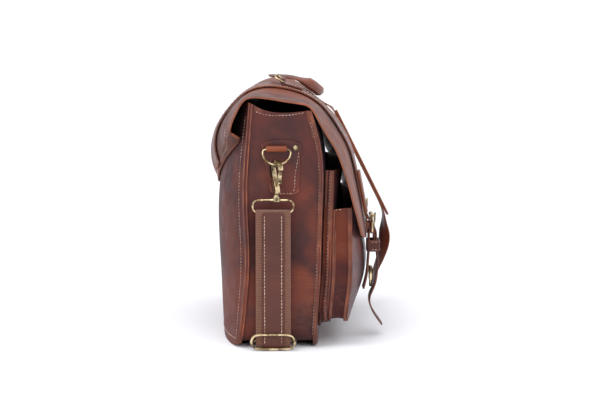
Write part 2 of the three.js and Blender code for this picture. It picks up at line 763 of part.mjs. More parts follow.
function tabFrame(x) {
  const last = tabRows[tabRows.length - 1];
  const end = onFlap(x, last, tabLift);
  const back = onFlap(x, last - 0.1, tabLift).sub(onFlap(x, last + 0.1, tabLift)).normalize();
  const across = beltStation(x, last, tabLift).across;
  const normal = across.clone().cross(back).normalize();
  if (normal.z < 0) normal.negate();
  return { bar: end.clone().addScaledVector(normal, rollRadius), back, across, normal };
}

function handleTab(x) {
  const { bar, back, across, normal } = tabFrame(x);
  const flat = tabRows.map((r) => ({ centre: onFlap(x, r, tabLift), across: beltStation(x, r, tabLift).across }));
  const rolled = evenRows(6).slice(1).map((share) => {
    const turn = share * 1.35 * Math.PI;
    return {
      centre: bar.clone()
        .addScaledVector(normal, -rollRadius * Math.cos(turn))
        .addScaledVector(back, rollRadius * Math.sin(turn)),
      across,
    };
  });
  return strap([...flat, ...rolled], tabWidth, tabLeather);
}

function handleRing(x) {
  const { bar, back, across, normal } = tabFrame(x);
  const lean = back.clone().addScaledVector(normal, 0.35).normalize();
  const centre = bar.clone().addScaledVector(lean, handleRingReach / 2);
  const plane = across.clone().cross(lean).normalize();
  return wire(
    roundedLoop(centre, across, lean, tabWidth + 7, handleRingReach, 4, 3), handleRingWire, 6, plane, true,
  );
}

// Handle: a flat end over each ring, a round grip lying forward on the flap between them
function handle() {
  const steps = 20;
  const sectionSides = 8;
  const ringRow = 8.15;
  const gripRow = 10.9;
  const sections = evenRows(steps).map((share) => {
    const i = share * 2 - 1;
    const x = i * handleReach;
    const grip = Math.min(Math.max((0.86 - Math.abs(i)) / 0.3, 0), 1);
    const round = grip * grip * (3 - 2 * grip);
    const r = ringRow + (gripRow - ringRow) * (1 - i * i) ** 0.6;
    const halfThick = lerp(handleEndThickness / 2, handleRadius, round);
    const halfWide = lerp(handleEndWidth / 2, handleRadius, round);
    const lift = flapLeather / 2 + 1.6 * fit + halfThick + 5.8 * (1 - round) ** 3;
    const centre = onFlap(x, r, lift);
    const normal = onFlap(x, r, lift + 1).sub(centre).normalize();
    return { centre, normal, halfThick, halfWide };
  });
  return loft(sections.map((s, k) => {
    const tangent = sections[Math.min(k + 1, steps)].centre.clone()
      .sub(sections[Math.max(k - 1, 0)].centre).normalize();
    const wide = tangent.clone().cross(s.normal).normalize();
    const high = wide.clone().cross(tangent).normalize();
    return Array.from({ length: sectionSides }, (_, j) => {
      const turn = ((j + 0.5) * 2 * Math.PI) / sectionSides;
      const square = 1 / Math.max(Math.abs(Math.cos(turn)), Math.abs(Math.sin(turn)));
      const reach = lerp(square, 1.06, s.halfThick / handleRadius);
      return s.centre.clone()
        .addScaledVector(wide, s.halfWide * Math.cos(turn) * reach)
        .addScaledVector(high, s.halfThick * Math.sin(turn) * reach);
    });
  }), false);
}

// Fittings at each end. Depth out of the gusset's outer face, on the side given by sign
const gussetSpan = (z, forward) => {
  const share = (forward - backAt(halfWidth, z)) / (frontAt(halfWidth, z) - backAt(halfWidth, z));
  const floor = flange + cornerRadius;
  const hang = Math.sin(Math.PI * (bodyHeight * gussetTop(share) - z) / (bodyHeight * gussetTop(share) - floor));
  return halfWidth + leather / 2 - gussetSag * Math.max(hang, 0) * Math.sin(Math.PI * share);
};
const patchOut = (z, forward) => gussetSpan(z, forward) + patchGap + leather / 2;

function ringPatch(sign) {
  return wall(evenRows(6).map((down) => mirrored([0, 0.5, 0.86, 1]).map((q) => {
    const half = lerp(patchHalfTop, patchHalfBottom, down ** 0.8);
    const forward = q * half + lerp(0, 4, down);
    const rounding = 5 * Math.max(Math.abs(q) - 0.5, 0) ** 2 * 4;
    const z = lerp(patchTop - rounding, patchBottom + rounding, down);
    return point(sign * patchOut(z, forward), forward, z);
  })), leather);
}

// The bar of the D-ring lies in a rolled leather loop on the patch
const loopRoll = ringWire + fit + leather / 2;
const hangOut = Math.max(...[-ringLoopWidth / 2, 0, ringLoopWidth / 2].map((w) =>
  patchOut(ringBarZ, ringForward + w))) + leather / 2 + fit + leather / 2 + loopRoll;

function ringLoop(sign) {
  const arc = evenRows(9).map((share) => (0.08 + share * 1.84) * Math.PI);
  return wall(arc.map((turn) => mirrored([0, 0.5, 1]).map((q) => point(
    sign * (hangOut - loopRoll * Math.cos(turn)),
    ringForward + q * ringLoopWidth / 2,
    ringBarZ + loopRoll * Math.sin(turn),
  ))), leather);
}

function dRing(sign) {
  const bowSteps = 12;
  const shoulder = 3;
  const leaning = (drop) => sign * (hangOut + ringLean * drop / ringDrop);
  const barHalf = ringWidth / 2 - 2.2;
  const bar = [-1, 0, 1].map((share) => point(leaning(0), ringForward + share * barHalf, ringBarZ));
  const bow = evenRows(bowSteps).map((share) => {
    const turn = share * Math.PI;
    const drop = shoulder + (ringDrop - shoulder) * Math.sin(turn);
    return point(leaning(drop), ringForward + (ringWidth / 2) * Math.cos(turn), ringBarZ - drop);
  });
  const normal = new THREE.Vector3(ringDrop, 0, sign * ringLean).normalize();
  return wire([...bar, ...bow], ringWire, 6, normal, true);
}

function rivet(sign, forward) {
  const z = ringBarZ + 1;
  const profile = [[0, 0], [rivetRadius, 0], [rivetRadius, rivetHead * 0.5], [rivetRadius * 0.6, rivetHead],
    [0, rivetHead]].map(([r, h]) => new THREE.Vector2(r, h));
  const out = patchOut(z, forward) + leather / 2 + fit + 0.25;
  return new THREE.LatheGeometry(profile, 12)
    .rotateZ(-sign * Math.PI / 2)
    .translate(sign * out, -forward, z);
}

// Snap hook, drawn flat: across is its width, the neck at height 0. It hangs on the leaning ring.
const hookOut = hangOut + ringLean;
const eyeOuter = hookEye + hookMetal;
const wireTop = ringBarZ - ringDrop + ringWire;
const hookBase = wireTop + 3 * fit - hookEye - hookNeck;
const placeHook = (geometry, sign) => geometry
  .translate(0, 0, -hookThickness / 2)
  .rotateX(Math.PI / 2)
  .rotateZ(-Math.PI / 2 + sign * hookTurn)
  .translate(sign * hookOut, -ringForward, hookBase);

const gatePivot = { across: 4.4, up: 12 };
const gateHalf = 1.5;
const noseEnd = hookNeck - 1.5;

function hook(sign) {
  const shape = new THREE.Shape();
  shape.moveTo(-3.4, 0);
  shape.lineTo(3.4, 0);
  shape.lineTo(3.4, 5);
  shape.lineTo(1.6, 9);
  shape.lineTo(1.2, 13);
  shape.lineTo(-2.6, 19);
  shape.lineTo(-hookEye, hookNeck);
  shape.absarc(0, hookNeck, hookEye, Math.PI, 0, true);
  shape.lineTo(hookEye, noseEnd);
  shape.lineTo(eyeOuter, noseEnd);
  shape.lineTo(eyeOuter, hookNeck);
  shape.absarc(0, hookNeck, eyeOuter, 0, Math.PI, false);
  shape.lineTo(-7, 15);
  shape.lineTo(-4.2, 6);
  shape.closePath();
  const geometry = new THREE.ExtrudeGeometry(shape, {
    depth: hookThickness, bevelEnabled: false, curveSegments: 8,
  });
  return placeHook(geometry, sign);
}

// Sprung gate of the hook: from its pivot up to the nose, with a thumb lug
function gate(sign) {
  const shape = new THREE.Shape();
  shape.moveTo(gatePivot.across - gateHalf, gatePivot.up - 2.4);
  shape.lineTo(gatePivot.across + gateHalf, gatePivot.up - 2.4);
  shape.lineTo(gatePivot.across + 5, gatePivot.up + 0.5);
  shape.lineTo(gatePivot.across + 5.4, gatePivot.up + 3);
  shape.lineTo(gatePivot.across + 2.6, gatePivot.up + 3.4);
  shape.lineTo(eyeOuter - 0.2, noseEnd - 1.1);
  shape.lineTo(hookEye + 0.2, noseEnd - 1.1);
  shape.closePath();
  const geometry = new THREE.ExtrudeGeometry(shape, {
    depth: hookThickness - 1, bevelEnabled: false,
  }).translate(0, 0, 0.5);
  return placeHook(geometry, sign);
}

// Swivel block and the loop that carries the webbing
const loopTopZ = hookBase - 7;
const loopBarZ = loopTopZ - loopHeight;

function swivelLoop(sign) {
  const centre = point(sign * hookOut, strapCentre, (loopTopZ + loopBarZ) / 2);
  const ring = wire(
    roundedLoop(centre, frontDir, up, loopWidth, loopHeight, 6, 3), loopWire, 6, acrossX, true,
  );
  const block = box(swivelBlock, swivelBlock, swivelBlock - 0.5, sign * hookOut, ringForward, loopTopZ + 1);
  const collar = new THREE.CylinderGeometry(3, 3, 4, 10)
    .rotateX(Math.PI / 2)
    .translate(sign * hookOut, -ringForward, hookBase - fit - 2);
  return joined(ring, block, collar);
}

// Shoulder strap, a path in the X-Z plane: doubled from the slider to the near loop, under the bag
// between its bottom seams, a plain turn on the floor at the far end, and up to the far loop
const barRadius = loopWire + 2.5 * fit + webbing / 2;
const floorZ = fit + bandLeather + fit + webbing / 2;
const frontLayer = hookOut + barRadius;
const backLayer = hookOut - barRadius;
const sliderBarOut = frontLayer - webbing / 2 - fit - sliderWire;
const sliderZ = sliderHeight / 2 + 0.4;

function strapPath() {
  const over = (cx, from, to) => evenRows(6).map((share) => {
    const turn = lerp(from, to, share);
    return new THREE.Vector2(cx + barRadius * Math.cos(turn), loopBarZ + barRadius * Math.sin(turn));
  });
  const nearHang = [
    new THREE.Vector2(-(sliderBarOut - sliderWire - fit - webbing / 2), sliderZ - 3),
    new THREE.Vector2(-(sliderBarOut - sliderWire - fit - webbing / 2), sliderZ + 12),
    new THREE.Vector2(-backLayer, loopBarZ * 0.5),
    ...over(-hookOut, 0, Math.PI),
    new THREE.Vector2(-frontLayer, loopBarZ * 0.7),
    new THREE.Vector2(-frontLayer, loopBarZ * 0.4),
    new THREE.Vector2(-frontLayer, sliderZ + 4),
    new THREE.Vector2(-frontLayer, sliderZ - 4),
  ];
  const turnRadius = sliderZ - 4 - floorZ;
  const foot = evenRows(4).slice(1).map((share) => new THREE.Vector2(
    -frontLayer + turnRadius * (1 - Math.cos(share * Math.PI / 2)),
    sliderZ - 4 - turnRadius * Math.sin(share * Math.PI / 2),
  ));
  const measured = (points) => points.slice(1).reduce((sum, p, i) => sum + p.distanceTo(points[i]), 0);
  const build = (reach) => {
    const under = [-0.6, -0.2, 0.2, 0.6, 1].map((share) => new THREE.Vector2(share * halfWidth, floorZ));
    const outTo = halfWidth + reach;
    const run = [new THREE.Vector2(halfWidth + reach * 0.55, floorZ)];
    const turn = evenRows(6).map((share) => {
      const angle = (share - 0.5) * Math.PI;
      return new THREE.Vector2(
        outTo + floorLoopRadius * Math.cos(angle),
        floorZ + floorLoopRadius + floorLoopRadius * Math.sin(angle),
      );
    });
    const rise = [
      new THREE.Vector2(halfWidth + reach * 0.82, floorZ + 2 * floorLoopRadius - 6),
      new THREE.Vector2(halfWidth + reach * 0.5, floorZ + floorLoopRadius - 1),
      new THREE.Vector2(halfWidth + reach * 0.25, floorZ + floorLoopRadius + 3),
      new THREE.Vector2(frontLayer + 4, loopBarZ * 0.25),
      new THREE.Vector2(frontLayer + 1, loopBarZ * 0.4),
      new THREE.Vector2(frontLayer, loopBarZ * 0.7),
      ...over(hookOut, 0, Math.PI),
      new THREE.Vector2(backLayer, loopBarZ - 22),
    ];
    return [...under, ...run, ...turn, ...rise];
  };
  const front = [...nearHang.slice(9), ...foot];
  const shortReach = 60;
  const short = measured([...front, ...build(shortReach)]);
  const reach = shortReach + (strapLength - short) / 2;
  return [...nearHang, ...foot, ...build(reach)];
}

const offsetPath = (path, distance) => path.map((p, i) => {
  const before = path[Math.max(i - 1, 0)];
  const after = path[Math.min(i + 1, path.length - 1)];
  const t = after.clone().sub(before).normalize();
  return new THREE.Vector2(p.x + t.y * distance, p.y - t.x * distance);
});

const flatStrap = (path, width, thickness) => wall(path.map((p) => [-0.5, 0.5].map((share) =>
  point(p.x, strapCentre + share * width, p.y))), thickness);

const webbingPath = strapPath();
const bandFrom = 9;
const bandTo = webbingPath.length - 8;
const bandOffset = webbing / 2 + 0.2 + bandLeather / 2;
const bandPath = offsetPath(webbingPath, bandOffset).slice(bandFrom, bandTo);

function slider() {
  const out = frontLayer + webbing / 2 + fit + bandLeather + fit + sliderWire;
  const ring = wire(
    roundedLoop(point(-out, strapCentre, sliderZ), frontDir, up, sliderWidth, sliderHeight - 2 * sliderWire, 8, 3),
    sliderWire, 6, acrossX, true,
  );
  const reach = sliderWidth / 2;
  const bar = wire([
    point(-out, strapCentre - reach, sliderZ),
    point(-lerp(out, sliderBarOut, 0.7), strapCentre - reach + 1, sliderZ),
    point(-sliderBarOut, strapCentre - reach + 4, sliderZ),
    point(-sliderBarOut, strapCentre + reach - 4, sliderZ),
    point(-lerp(out, sliderBarOut, 0.7), strapCentre + reach - 1, sliderZ),
    point(-out, strapCentre + reach, sliderZ),
  ], sliderWire, 6, up, false);
  return joined(ring, bar);
}

// Finishes
const finish = (color, roughness, metalness) => new THREE.MeshStandardMaterial({ color, roughness, metalness });
const finishes = {
  brown: () => finish(0x6b3a2e, 0.55, 0),
  lit: () => finish(0x7d4a38, 0.55, 0),
  dark: () => finish(0x4a2a26, 0.6, 0),
  brass: () => finish(0xb59a63, 0.35, 1),
  web: () => finish(0x7a4634, 0.85, 0),
};

const bag = new THREE.Group();
function add(name, geometry, kind) {
  const mesh = new THREE.Mesh(geometry, finishes[kind]());
  mesh.name = name;
  bag.add(mesh);
}

add('back_panel', backPanel, 'brown');
add('front_panel', frontPanel, 'brown');
add('gusset', gusset, 'brown');
add('slip_gusset', slipGusset, 'brown');
add('slip_front', slipFront, 'brown');
add('pocket_gusset', pocketGusset, 'brown');
add('pocket_front', pocketFront, 'brown');
add('flap', flap, 'lit');
add('belt_near', nearBelt, 'brown');
add('belt_far', farBelt, 'dark');
add('strip_near', nearStrip, 'brown');
add('strip_far', farStrip, 'brown');
add('handle', handle(), 'dark');
add('strap_webbing', flatStrap(webbingPath, strapWidth, webbing), 'web');
add('strap_band', flatStrap(bandPath, bandWidth, bandLeather), 'brown');
add('slider', slider(), 'brass');
for (const { name, sign } of sides) {
  const x = sign * beltOffset;
  add(`buckle_${name}`, buckle(x), 'brass');
  add(`keeper_${name}`, keeper(x), 'brown');
  add(`lower_strap_${name}`, lowerStrap(x), 'brown');
  add(`lock_${name}`, lock(x), 'brass');
  add(`handle_tab_${name}`, handleTab(x), 'brown');
  add(`handle_ring_${name}`, handleRing(x), 'brass');
  add(`ring_patch_${name}`, ringPatch(sign), 'brown');
  add(`ring_loop_${name}`, ringLoop(sign), 'lit');
  add(`d_ring_${name}`, dRing(sign), 'brass');
  add(`rivet_${name}`, rivet(sign, patchHalfTop - 6), 'brass');
  add(`hook_${name}`, hook(sign), 'brass');
  add(`gate_${name}`, gate(sign), 'brass');
  add(`swivel_loop_${name}`, swivelLoop(sign), 'brass');
}

// The origin is at the middle of the bag's footprint, on the floor
const reach = new THREE.Box3().setFromObject(bag);
const middle = reach.getCenter(new THREE.Vector3());
bag.position.set(-middle.x, -middle.y, -reach.min.z);

export default bag;
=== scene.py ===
import math
import random

import bmesh
import bpy
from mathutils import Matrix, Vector
from mathutils.bvhtree import BVHTree


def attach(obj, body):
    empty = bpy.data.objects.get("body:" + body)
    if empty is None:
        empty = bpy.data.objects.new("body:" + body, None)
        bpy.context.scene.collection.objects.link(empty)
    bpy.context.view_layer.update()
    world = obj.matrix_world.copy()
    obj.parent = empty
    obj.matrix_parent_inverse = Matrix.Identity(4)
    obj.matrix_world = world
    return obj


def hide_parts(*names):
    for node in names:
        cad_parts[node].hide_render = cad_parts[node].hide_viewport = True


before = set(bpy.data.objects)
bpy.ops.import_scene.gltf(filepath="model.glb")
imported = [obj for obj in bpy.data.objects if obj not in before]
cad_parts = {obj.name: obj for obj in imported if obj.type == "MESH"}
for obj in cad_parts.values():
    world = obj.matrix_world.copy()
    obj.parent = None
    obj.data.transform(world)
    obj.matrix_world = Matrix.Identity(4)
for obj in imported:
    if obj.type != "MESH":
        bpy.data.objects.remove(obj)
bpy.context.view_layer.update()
random.seed(7)
print("frame loaded")

# Camera, at the bag's near end
cameraSet = {"place": (-1.9658, 0.0034, 0.320), "pitch": 85.05, "turn": -90, "lens": 88.7, "sensor": 36}
cameraData = bpy.data.cameras.new("camera")
cameraData.lens = cameraSet["lens"]
cameraData.sensor_width = cameraSet["sensor"]
camera = bpy.data.objects.new("camera", cameraData)
camera.location = cameraSet["place"]
camera.rotation_euler = (math.radians(cameraSet["pitch"]), 0, math.radians(cameraSet["turn"]))
bpy.context.scene.collection.objects.link(camera)
bpy.context.scene.camera = camera


# Shader sockets with plain arithmetic
class Sock:
    def __init__(self, graph, out):
        self.graph = graph
        self.out = out

    def calc(self, kind, other=0.0):
        return self.graph.add("ShaderNodeMath", [self, other], operation=kind)

    def __add__(self, other):
        return self.calc("ADD", other)

    def __sub__(self, other):
        return self.calc("SUBTRACT", other)

    def __mul__(self, other):
        return self.calc("MULTIPLY", other)

    def part(self, name):
        return Sock(self.graph, self.out.node.outputs[name])

    def ramp(self, low, high, bottom=0.0, top=1.0):
        made = self.graph.add("ShaderNodeMapRange", [self, low, high, bottom, top])
        made.out.node.interpolation_type = "SMOOTHSTEP"
        return made


class Graph:
    def __init__(self, name):
        self.material = bpy.data.materials.new(name)
        self.material.use_nodes = True
        self.tree = self.material.node_tree
        self.shader = self.tree.nodes["Principled BSDF"]
        self.place = self.add("ShaderNodeTexCoord", []).part("Object")

    def put(self, socket, value):
        if isinstance(value, Sock):
            self.tree.links.new(value.out, socket)
        else:
            socket.default_value = value

    def add(self, kind, inputs, output=0, **facts):
        node = self.tree.nodes.new(kind)
        for key, value in facts.items():
            setattr(node, key, value)
        pairs = inputs.items() if isinstance(inputs, dict) else enumerate(inputs)
        for key, value in pairs:
            self.put(node.inputs[key], value)
        return Sock(self, node.outputs[output])

    def stretch(self, scale):
        return self.add("ShaderNodeVectorMath", {0: self.place, 1: scale}, operation="MULTIPLY")

    def noise(self, scale, detail=2.0, rough=0.5, place=None, distort=0.0):
        facts = {"Vector": place or self.place, "Scale": scale, "Detail": detail}
        facts.update({"Roughness": rough, "Distortion": distort})
        return self.add("ShaderNodeTexNoise", facts)

    def mix(self, amount, first, second):
        facts = {0: amount, 6: first, 7: second}
        return self.add("ShaderNodeMix", facts, output=2, data_type="RGBA")

    def finish(self, colour, rough, height, depth, strength, **numbers):
        bump = self.add("ShaderNodeBump", {"Strength": strength, "Distance": depth, "Height": height})
        self.put(self.shader.inputs["Base Color"], colour)
        self.put(self.shader.inputs["Roughness"], rough)
        self.put(self.shader.inputs["Normal"], bump)
        for key, value in numbers.items():
            self.shader.inputs[key.replace("_", " ")].default_value = value
        return self.material


# Waves per metre of each kind of mark in the leather
leatherScale = {"patch": 7, "tone": 16, "fine": 55, "wrinkle": 11, "worn": 9, "dent": 30,
                "pore": 420, "grain": 1300}
wrinkleStretch = (1.0, 0.8, 2.6)
scuffColour = (0.30, 0.13, 0.09, 1)
sheenTint = (0.80, 0.76, 1.0, 1)


# Oiled leather that lightens in patches where it is pulled
def leather(settings):
    g = Graph(settings["name"])
    patches, crease, rough = settings["patches"], settings["crease"], settings["rough"]
    broad = g.noise(leatherScale["patch"], 3, 0.55, distort=0.4)
    fine = g.noise(leatherScale["fine"], 4, 0.6)
    pulled = (broad + fine * 0.16).ramp(patches + 0.08, patches + 0.24)
    tone = g.noise(leatherScale["tone"], 3, 0.6, distort=0.6).ramp(0.35, 0.68)
    colour = g.mix(pulled * 0.7, g.mix(tone, settings["dark"], settings["warm"]), settings["pull"])
    wrinkle = g.noise(leatherScale["wrinkle"], 4, 0.55, g.stretch(wrinkleStretch), 1.2)
    line = (wrinkle - 0.5).calc("ABSOLUTE").ramp(0.0, 0.03, 1.0, 0.0)
    mark = line * g.noise(leatherScale["worn"], 1).ramp(0.55, 0.70)
    scuffed = g.mix(mark * 0.10, colour, scuffColour)
    grain = g.noise(leatherScale["grain"], 2, 0.6)
    pores = g.noise(leatherScale["pore"], 2, 0.5)
    folds = wrinkle * (0.55 * crease) + g.noise(leatherScale["dent"], 3) * 0.22 - mark * (0.12 * crease)
    height = folds + grain * 0.03 + pores * 0.04
    roughness = fine.ramp(0.3, 0.7, rough - 0.06, rough + 0.1)
    return g.finish(scuffed, roughness, height, depth=0.0030, strength=0.75, Sheen_Weight=settings["sheen"],
                    Sheen_Roughness=0.4, Sheen_Tint=sheenTint, Specular_IOR_Level=settings["spec"])


edgeScale = {"fibre": 260, "fleck": 60, "shade": 11}
brassScale = {"worn": 130, "spot": 70}
webbingScale = {"tone": 90, "rib": 3300.0, "warp": 5200.0}
threadScale = {"tone": 120, "fuzz": 2500}


# Cut edge of the leather, its fibres lit or in deep shade
def rawEdge(name, lit, deep):
    g = Graph(name)
    fibres = g.noise(edgeScale["fibre"], 3, 0.6)
    fleck = g.noise(edgeScale["fleck"], 3).ramp(0.35, 0.75)
    shade = g.noise(edgeScale["shade"], 2).ramp(0.42, 0.66)
    colour = g.mix(fleck, (0.105, 0.022, 0.009, 1), (0.25, 0.065, 0.022, 1))
    dark = g.mix(shade * deep, colour, (0.060, 0.013, 0.008, 1))
    bright = g.mix(lit, dark, (0.36, 0.11, 0.04, 1))
    return g.finish(bright, 0.62, fibres, depth=0.0006, strength=0.5)


def brassFinish():
    g = Graph("wornBrassPaintedShade")
    worn = g.noise(brassScale["worn"], 3, 0.55)
    spots = g.noise(brassScale["spot"], 3, 0.6)
    colour = g.mix(worn.ramp(0.36, 0.62), (0.17, 0.115, 0.050, 1), (0.70, 0.56, 0.34, 1))
    # Dark noise spots are painted shade, standing in for the shade in the brass's recesses
    spotShade = g.mix(spots.ramp(0.50, 0.66) * 0.85, colour, (0.040, 0.030, 0.020, 1))
    roughness = worn.ramp(0.3, 0.7, 0.40, 0.22)
    return g.finish(spotShade, roughness, worn, depth=0.0003, strength=0.22, Metallic=1.0)


# Woven ribs and warp as sine waves, in radians per metre
def webbingFinish():
    g = Graph("webbing")
    split = g.add("ShaderNodeSeparateXYZ", [g.place])
    across = split.part("X") + split.part("Z")
    rib = (across * webbingScale["rib"]).calc("SINE")
    warp = (split.part("Y") * webbingScale["warp"]).calc("SINE")
    colour = g.mix(rib.ramp(-1, 1), (0.105, 0.033, 0.016, 1), (0.235, 0.088, 0.045, 1))
    tone = g.mix(g.noise(webbingScale["tone"], 3).ramp(0.3, 0.7) * 0.35, colour, (0.12, 0.04, 0.025, 1))
    weave = rib * 0.5 + warp * 0.3
    return g.finish(tone, 0.75, weave, depth=0.0006, strength=0.9, Sheen_Weight=0.3)


def threadFinish():
    g = Graph("thread")
    tone = g.noise(threadScale["tone"], 2).ramp(0.35, 0.65)
    colour = g.mix(tone, (0.36, 0.19, 0.13, 1), (0.66, 0.48, 0.39, 1))
    return g.finish(colour, 0.6, g.noise(threadScale["fuzz"], 1), depth=0.0002, strength=0.5)


bodyLeather = leather({
    "name": "bodyLeather", "rough": 0.44, "crease": 0.7, "patches": 0.47, "sheen": 0.04, "spec": 0.30,
    "dark": (0.042, 0.0095, 0.0085, 1), "warm": (0.086, 0.0150, 0.0105, 1), "pull": (0.185, 0.036, 0.0135, 1),
})
sideLeather = leather({
    "name": "sideLeather", "rough": 0.58, "crease": 0.5, "patches": 0.46, "sheen": 0.02, "spec": 0.16,
    "dark": (0.043, 0.0105, 0.0105, 1), "warm": (0.074, 0.0150, 0.0125, 1), "pull": (0.140, 0.029, 0.0130, 1),
})
flapLeather = leather({
    "name": "flapLeather", "rough": 0.52, "crease": 0.7, "patches": 0.44, "sheen": 0.03, "spec": 0.20,
    "dark": (0.072, 0.020, 0.012, 1), "warm": (0.120, 0.032, 0.017, 1), "pull": (0.21, 0.055, 0.022, 1),
})
trimLeather = leather({
    "name": "trimLeather", "rough": 0.42, "crease": 0.4, "patches": 0.44, "sheen": 0.04, "spec": 0.30,
    "dark": (0.055, 0.0125, 0.0085, 1), "warm": (0.105, 0.0235, 0.012, 1), "pull": (0.20, 0.045, 0.016, 1),
})
# Painted highlight: the ring loops' leather is painted much lighter and more orange than the trim, for the
# light on their fold
litLoopLeather = leather({
    "name": "litLoopLeather", "rough": 0.42, "crease": 0.3, "patches": 0.5, "sheen": 0.04, "spec": 0.30,
    "dark": (0.15, 0.032, 0.010, 1), "warm": (0.24, 0.055, 0.016, 1), "pull": (0.32, 0.085, 0.024, 1),
})
bandLeather = leather({
    "name": "bandLeather", "rough": 0.5, "crease": 0.3, "patches": 0.55, "sheen": 0.03, "spec": 0.30,
    "dark": (0.062, 0.018, 0.0125, 1), "warm": (0.082, 0.023, 0.0155, 1), "pull": (0.11, 0.030, 0.018, 1),
})
edgeLeather = rawEdge("rawEdge", 0.06, 0.85)
flapEdge = rawEdge("flapEdge", 0.32, 0.85)
seamEdge = rawEdge("seamEdge", 0.0, 0.97)
brassMetal = brassFinish()
webbingCloth = webbingFinish()
threadCotton = threadFinish()
print("materials made")

bodyOf = {"gate_near": "near_gate", "gate_far": "far_gate"}
looks = {}
meshSet = {
    "merge": 0.00002,
    "flatAngle": math.radians(14),
    "quadAngle": math.radians(60),
    "sharpAngle": math.radians(55),
    "bevelAngle": math.radians(40),
    "bevel": 0.00045,
    "edgeWidth": 0.0032,
    "seamFacing": 0.75,
    "pressFacing": 0.6,
    "pressDepth": 0.0010,
}


def apply(obj, kind, **facts):
    for other in bpy.context.selected_objects:
        other.select_set(False)
    bpy.context.view_layer.objects.active = obj
    obj.select_set(True)
    modifier = obj.modifiers.new(kind.lower(), kind)
    for key, value in facts.items():
        setattr(modifier, key, value)
    bpy.ops.object.modifier_apply(modifier=modifier.name)


# Copy of a node's mesh with merged corners and quads, its cut edges in the second material
def copyOf(settings):
    node = settings["node"]
    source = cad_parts[node]
    obj = bpy.data.objects.new(node + "_look", source.data.copy())
    bpy.context.scene.collection.objects.link(obj)
    obj.data.materials.clear()
    for material in settings["materials"]:
        obj.data.materials.append(material)
    work = bmesh.new()
    work.from_mesh(obj.data)
    bmesh.ops.remove_doubles(work, verts=work.verts, dist=meshSet["merge"])
    bmesh.ops.join_triangles(work, faces=work.faces, angle_face_threshold=meshSet["flatAngle"],
                             angle_shape_threshold=meshSet["quadAngle"])
    work.normal_update()
    for face in work.faces:
        face.smooth = True
        face.material_index = 0
        pairs = [e for e in face.edges if len(e.link_faces) == 2]
        sharp = [e.calc_length() for e in pairs if e.calc_face_angle(0) > meshSet["sharpAngle"]]
        if len(settings["materials"]) > 1 and len(sharp) >= 2:
            if face.calc_area() / max(sharp) < meshSet["edgeWidth"]:
                face.material_index = 1
    work.to_mesh(obj.data)
    work.free()
    return obj


# Rounded and smoothed look of one node, which takes its place
def softPiece(settings):
    node = settings["node"]
    obj = copyOf(settings)
    bevel = settings.get("bevel", meshSet["bevel"])
    if bevel:
        apply(obj, "BEVEL", width=bevel, segments=1, limit_method="ANGLE",
              angle_limit=meshSet["bevelAngle"], harden_normals=False)
    levels = settings.get("levels", 2)
    apply(obj, "SUBSURF", levels=levels, render_levels=levels, boundary_smooth="PRESERVE_CORNERS")
    for face in obj.data.polygons:
        face.use_smooth = True
    # Flanges grow towards the panels sewn to them
    if "seam" in settings:
        moves = []
        for vertex in obj.data.vertices:
            side = 1 if vertex.co.y > settings["seamSplit"] else -1
            moves.append(side * settings["seam"] if vertex.normal.y * side > meshSet["seamFacing"] else 0)
        for vertex, move in zip(obj.data.vertices, moves):
            vertex.co.y += move
    # Doubling strips are pressed onto their belts
    if "press" in settings:
        press = Vector(settings["press"])
        pressed = [v for v in obj.data.vertices if v.normal.dot(press) > meshSet["pressFacing"]]
        for vertex in pressed:
            vertex.co += press * meshSet["pressDepth"]
    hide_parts(node)
    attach(obj, bodyOf.get(node, "bag"))
    looks[node] = obj


panels = [
    {"node": "back_panel", "top": sideLeather, "edge": seamEdge},
    {"node": "front_panel", "top": bodyLeather},
    {"node": "gusset", "top": bodyLeather, "seam": 0.0016, "seamSplit": 0.038},
    {"node": "slip_gusset", "top": sideLeather, "seam": 0.0014, "seamSplit": -0.022},
    {"node": "slip_front", "top": sideLeather, "edge": seamEdge},
    {"node": "pocket_gusset", "top": sideLeather, "seam": 0.0014, "seamSplit": -0.043},
    {"node": "pocket_front", "top": bodyLeather},
    {"node": "flap", "top": flapLeather, "edge": flapEdge},
    {"node": "belt_near", "top": trimLeather},
    {"node": "belt_far", "top": trimLeather, "edge": flapEdge},
    {"node": "strip_near", "top": trimLeather, "edge": flapEdge, "press": (0, 0.95, -0.31)},
    {"node": "strip_far", "top": trimLeather, "edge": flapEdge, "press": (0, 0.894, -0.447)},
    {"node": "handle", "top": trimLeather},
    {"node": "strap_band", "top": bandLeather, "bevel": 0.0003, "edge": bandLeather},
]
for end in ("near", "far"):
    panels += [
        {"node": "keeper_" + end, "top": trimLeather, "bevel": 0.0003},
        {"node": "lower_strap_" + end, "top": trimLeather},
        {"node": "handle_tab_" + end, "top": trimLeather},
        {"node": "ring_patch_" + end, "top": bodyLeather},
        {"node": "ring_loop_" + end, "top": litLoopLeather, "bevel": 0.0003},
    ]
for settings in panels:
    settings["materials"] = [settings["top"], settings.get("edge", edgeLeather)]
    settings["slot"] = "leather"
    softPiece(settings)
print("leather pieces made")

metals = [{"node": "slider", "bevel": 0.0003}]
for end in ("near", "far"):
    metals += [
        {"node": "buckle_" + end, "bevel": 0.0003},
        {"node": "lock_" + end, "bevel": 0.0006},
        {"node": "handle_ring_" + end, "bevel": 0},
        {"node": "d_ring_" + end, "bevel": 0},
        {"node": "rivet_" + end, "bevel": 0.0003},
        {"node": "hook_" + end, "bevel": 0.0010},
        {"node": "gate_" + end, "bevel": 0.0005},
        {"node": "swivel_loop_" + end, "bevel": 0.0005},
    ]
for settings in metals:
    settings["materials"] = [brassMetal]
    settings["slot"] = "brass"
    softPiece(settings)
softPiece({"node": "strap_webbing", "materials": [webbingCloth], "slot": "webbing", "bevel": 0.0003,
           "levels": 1})
print("metal and webbing made")

middle = -0.06572


def mirrored(points):
    return [(2 * middle - x, y, z) for x, y, z in points]


def treeOf(nodes):
    work = bmesh.new()
    for node in nodes:
        work.from_mesh(looks[node].data)
    tree = BVHTree.FromBMesh(work)
    work.free()
    return tree


